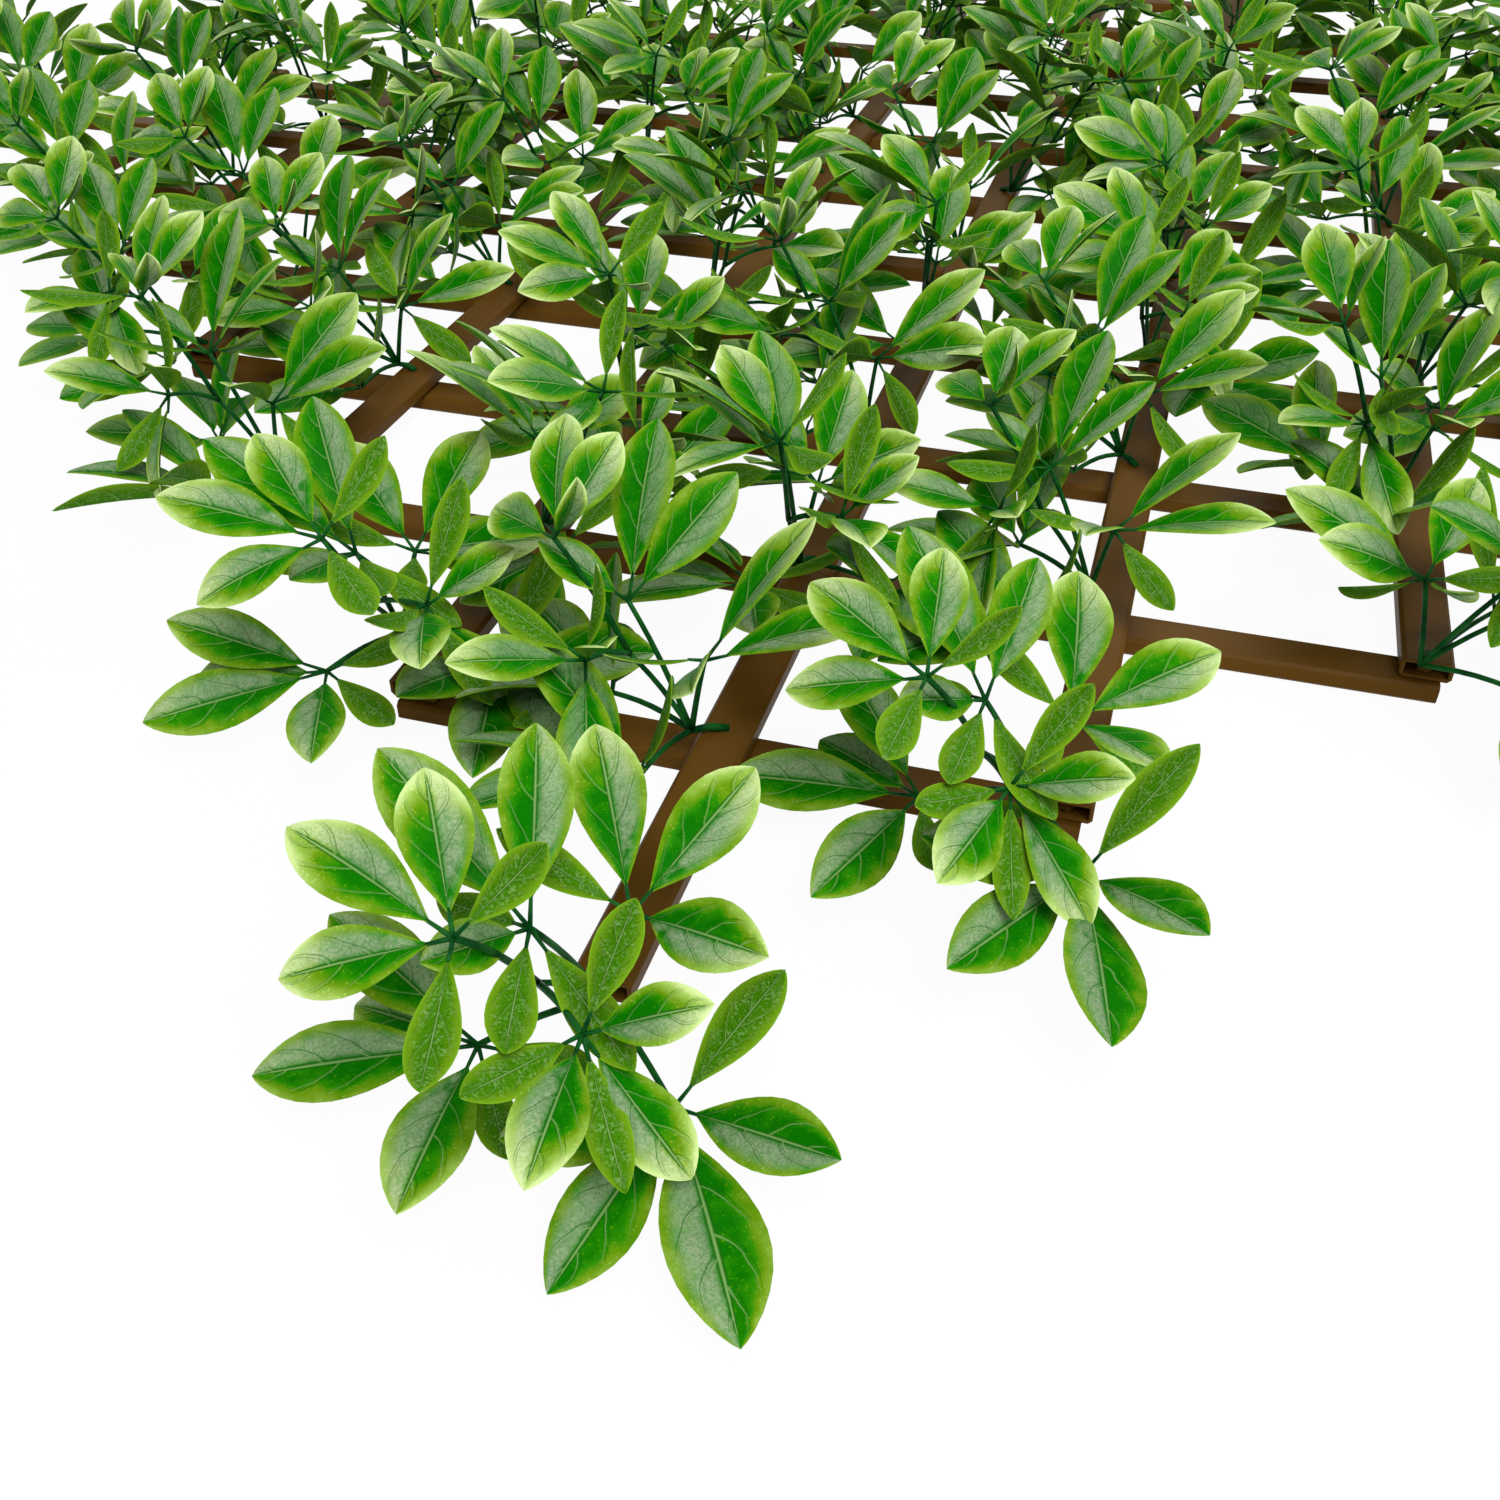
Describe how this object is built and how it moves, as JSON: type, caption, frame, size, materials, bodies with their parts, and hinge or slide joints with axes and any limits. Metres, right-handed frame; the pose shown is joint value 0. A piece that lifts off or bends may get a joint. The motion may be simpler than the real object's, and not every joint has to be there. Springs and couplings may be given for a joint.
{
  "type": "expandable trellis",
  "caption": "Expandable scissor lattice of hollow brown plastic slats with artificial green leaf sprigs on every crossing.",
  "frame": {"origin": "main pivot, on the back face of the lower slat that all upper slats cross", "axes": "+X along the panel's width, +Y along its height, +Z from the back to the leaves"},
  "size_m": [1.0215, 1.0167, 0.0992],
  "materials": {
    "slat": "satin brown",
    "leaf": "glossy green"
  },
  "bodies": {
    "upper_01": {"upper_slat_01": "slat", "sprig_row_01": "leaf", "sprig_5_0": "leaf", "sprig_6_1": "leaf"},
    "upper_02": {"upper_slat_02": "slat", "sprig_row_02": "leaf", "sprig_4_0": "leaf", "sprig_6_2": "leaf"},
    "upper_03": {"upper_slat_03": "slat", "sprig_row_03": "leaf", "sprig_3_0": "leaf", "sprig_6_3": "leaf"},
    "upper_04": {"upper_slat_04": "slat", "sprig_row_04": "leaf", "sprig_2_0": "leaf", "sprig_6_4": "leaf"},
    "upper_05": {"upper_slat_05": "slat", "sprig_row_05": "leaf", "sprig_1_0": "leaf", "sprig_6_5": "leaf"},
    "upper_06": {"upper_slat_06": "slat", "sprig_row_06": "leaf", "sprig_0_0": "leaf", "sprig_6_6": "leaf"},
    "upper_07": {"upper_slat_07": "slat", "sprig_row_07": "leaf", "sprig_0_1": "leaf", "sprig_5_6": "leaf"},
    "upper_08": {"upper_slat_08": "slat", "sprig_row_08": "leaf", "sprig_0_2": "leaf", "sprig_4_6": "leaf"},
    "upper_09": {"upper_slat_09": "slat", "sprig_row_09": "leaf", "sprig_0_3": "leaf", "sprig_3_6": "leaf"},
    "upper_10": {"upper_slat_10": "slat", "sprig_row_10": "leaf", "sprig_0_4": "leaf", "sprig_2_6": "leaf"},
    "upper_11": {"upper_slat_11": "slat", "sprig_row_11": "leaf", "sprig_0_5": "leaf", "sprig_1_6": "leaf"},
    "lower_01": {"lower_slat_01": "slat"},
    "lower_02": {"lower_slat_02": "slat"},
    "lower_03": {"lower_slat_03": "slat"},
    "lower_04": {"lower_slat_04": "slat"},
    "lower_05": {"lower_slat_05": "slat"},
    "lower_06": {"lower_slat_06": "slat", "sprig_6_0": "leaf", "sprig_0_6": "leaf"},
    "lower_07": {"lower_slat_07": "slat"},
    "lower_08": {"lower_slat_08": "slat"},
    "lower_09": {"lower_slat_09": "slat"},
    "lower_10": {"lower_slat_10": "slat"},
    "lower_11": {"lower_slat_11": "slat"}
  },
  "joints": [
    {"name": "fold", "type": "hinge", "parent": "upper_06", "child": "lower_06", "pos_m": [0, 0, 0.007], "axis": [0, 0, 1], "range_deg": [-80, 80], "deforming": ["sprig_row_01", "sprig_5_0", "sprig_6_1", "sprig_row_02", "sprig_4_0", "sprig_6_2", "sprig_row_03", "sprig_3_0", "sprig_6_3", "sprig_row_04", "sprig_2_0", "sprig_6_4", "sprig_row_05", "sprig_1_0", "sprig_6_5", "sprig_row_06", "sprig_0_0", "sprig_6_6", "sprig_row_07", "sprig_0_1", "sprig_5_6", "sprig_row_08", "sprig_0_2", "sprig_4_6", "sprig_row_09", "sprig_0_3", "sprig_3_6", "sprig_row_10", "sprig_0_4", "sprig_2_6", "sprig_row_11", "sprig_0_5", "sprig_1_6", "sprig_6_0", "sprig_0_6"]},
    {"name": "fold_lower_01", "type": "hinge", "parent": "upper_06", "child": "lower_01", "pos_m": [-0.35709, -0.35709, 0.007], "axis": [0, 0, 1], "range_deg": [-80, 80]},
    {"name": "fold_lower_02", "type": "hinge", "parent": "upper_06", "child": "lower_02", "pos_m": [-0.28567, -0.28567, 0.007], "axis": [0, 0, 1], "range_deg": [-80, 80]},
    {"name": "fold_lower_03", "type": "hinge", "parent": "upper_06", "child": "lower_03", "pos_m": [-0.21425, -0.21425, 0.007], "axis": [0, 0, 1], "range_deg": [-80, 80]},
    {"name": "fold_lower_04", "type": "hinge", "parent": "upper_06", "child": "lower_04", "pos_m": [-0.14284, -0.14284, 0.007], "axis": [0, 0, 1], "range_deg": [-80, 80]},
    {"name": "fold_lower_05", "type": "hinge", "parent": "upper_06", "child": "lower_05", "pos_m": [-0.07142, -0.07142, 0.007], "axis": [0, 0, 1], "range_deg": [-80, 80]},
    {"name": "fold_lower_07", "type": "hinge", "parent": "upper_06", "child": "lower_07", "pos_m": [0.07142, 0.07142, 0.007], "axis": [0, 0, 1], "range_deg": [-80, 80]},
    {"name": "fold_lower_08", "type": "hinge", "parent": "upper_06", "child": "lower_08", "pos_m": [0.14284, 0.14284, 0.007], "axis": [0, 0, 1], "range_deg": [-80, 80]},
    {"name": "fold_lower_09", "type": "hinge", "parent": "upper_06", "child": "lower_09", "pos_m": [0.21425, 0.21425, 0.007], "axis": [0, 0, 1], "range_deg": [-80, 80]},
    {"name": "fold_lower_10", "type": "hinge", "parent": "upper_06", "child": "lower_10", "pos_m": [0.28567, 0.28567, 0.007], "axis": [0, 0, 1], "range_deg": [-80, 80]},
    {"name": "fold_lower_11", "type": "hinge", "parent": "upper_06", "child": "lower_11", "pos_m": [0.35709, 0.35709, 0.007], "axis": [0, 0, 1], "range_deg": [-80, 80]},
    {"name": "fold_upper_01", "type": "hinge", "parent": "lower_06", "child": "upper_01", "pos_m": [0.35709, -0.35709, 0.007], "axis": [0, 0, 1], "range_deg": [-80, 80]},
    {"name": "fold_upper_02", "type": "hinge", "parent": "lower_06", "child": "upper_02", "pos_m": [0.28567, -0.28567, 0.007], "axis": [0, 0, 1], "range_deg": [-80, 80]},
    {"name": "fold_upper_03", "type": "hinge", "parent": "lower_06", "child": "upper_03", "pos_m": [0.21425, -0.21425, 0.007], "axis": [0, 0, 1], "range_deg": [-80, 80]},
    {"name": "fold_upper_04", "type": "hinge", "parent": "lower_06", "child": "upper_04", "pos_m": [0.14284, -0.14284, 0.007], "axis": [0, 0, 1], "range_deg": [-80, 80]},
    {"name": "fold_upper_05", "type": "hinge", "parent": "lower_06", "child": "upper_05", "pos_m": [0.07142, -0.07142, 0.007], "axis": [0, 0, 1], "range_deg": [-80, 80]},
    {"name": "fold_upper_07", "type": "hinge", "parent": "lower_06", "child": "upper_07", "pos_m": [-0.07142, 0.07142, 0.007], "axis": [0, 0, 1], "range_deg": [-80, 80]},
    {"name": "fold_upper_08", "type": "hinge", "parent": "lower_06", "child": "upper_08", "pos_m": [-0.14284, 0.14284, 0.007], "axis": [0, 0, 1], "range_deg": [-80, 80]},
    {"name": "fold_upper_09", "type": "hinge", "parent": "lower_06", "child": "upper_09", "pos_m": [-0.21425, 0.21425, 0.007], "axis": [0, 0, 1], "range_deg": [-80, 80]},
    {"name": "fold_upper_10", "type": "hinge", "parent": "lower_06", "child": "upper_10", "pos_m": [-0.28567, 0.28567, 0.007], "axis": [0, 0, 1], "range_deg": [-80, 80]},
    {"name": "fold_upper_11", "type": "hinge", "parent": "lower_06", "child": "upper_11", "pos_m": [-0.35709, 0.35709, 0.007], "axis": [0, 0, 1], "range_deg": [-80, 80]}
  ],
  "couplings": [
    {"joint": "fold_lower_01", "follows": "fold", "ratio": 1},
    {"joint": "fold_lower_02", "follows": "fold", "ratio": 1},
    {"joint": "fold_lower_03", "follows": "fold", "ratio": 1},
    {"joint": "fold_lower_04", "follows": "fold", "ratio": 1},
    {"joint": "fold_lower_05", "follows": "fold", "ratio": 1},
    {"joint": "fold_lower_07", "follows": "fold", "ratio": 1},
    {"joint": "fold_lower_08", "follows": "fold", "ratio": 1},
    {"joint": "fold_lower_09", "follows": "fold", "ratio": 1},
    {"joint": "fold_lower_10", "follows": "fold", "ratio": 1},
    {"joint": "fold_lower_11", "follows": "fold", "ratio": 1},
    {"joint": "fold_upper_01", "follows": "fold", "ratio": -1},
    {"joint": "fold_upper_02", "follows": "fold", "ratio": -1},
    {"joint": "fold_upper_03", "follows": "fold", "ratio": -1},
    {"joint": "fold_upper_04", "follows": "fold", "ratio": -1},
    {"joint": "fold_upper_05", "follows": "fold", "ratio": -1},
    {"joint": "fold_upper_07", "follows": "fold", "ratio": -1},
    {"joint": "fold_upper_08", "follows": "fold", "ratio": -1},
    {"joint": "fold_upper_09", "follows": "fold", "ratio": -1},
    {"joint": "fold_upper_10", "follows": "fold", "ratio": -1},
    {"joint": "fold_upper_11", "follows": "fold", "ratio": -1}
  ]
}
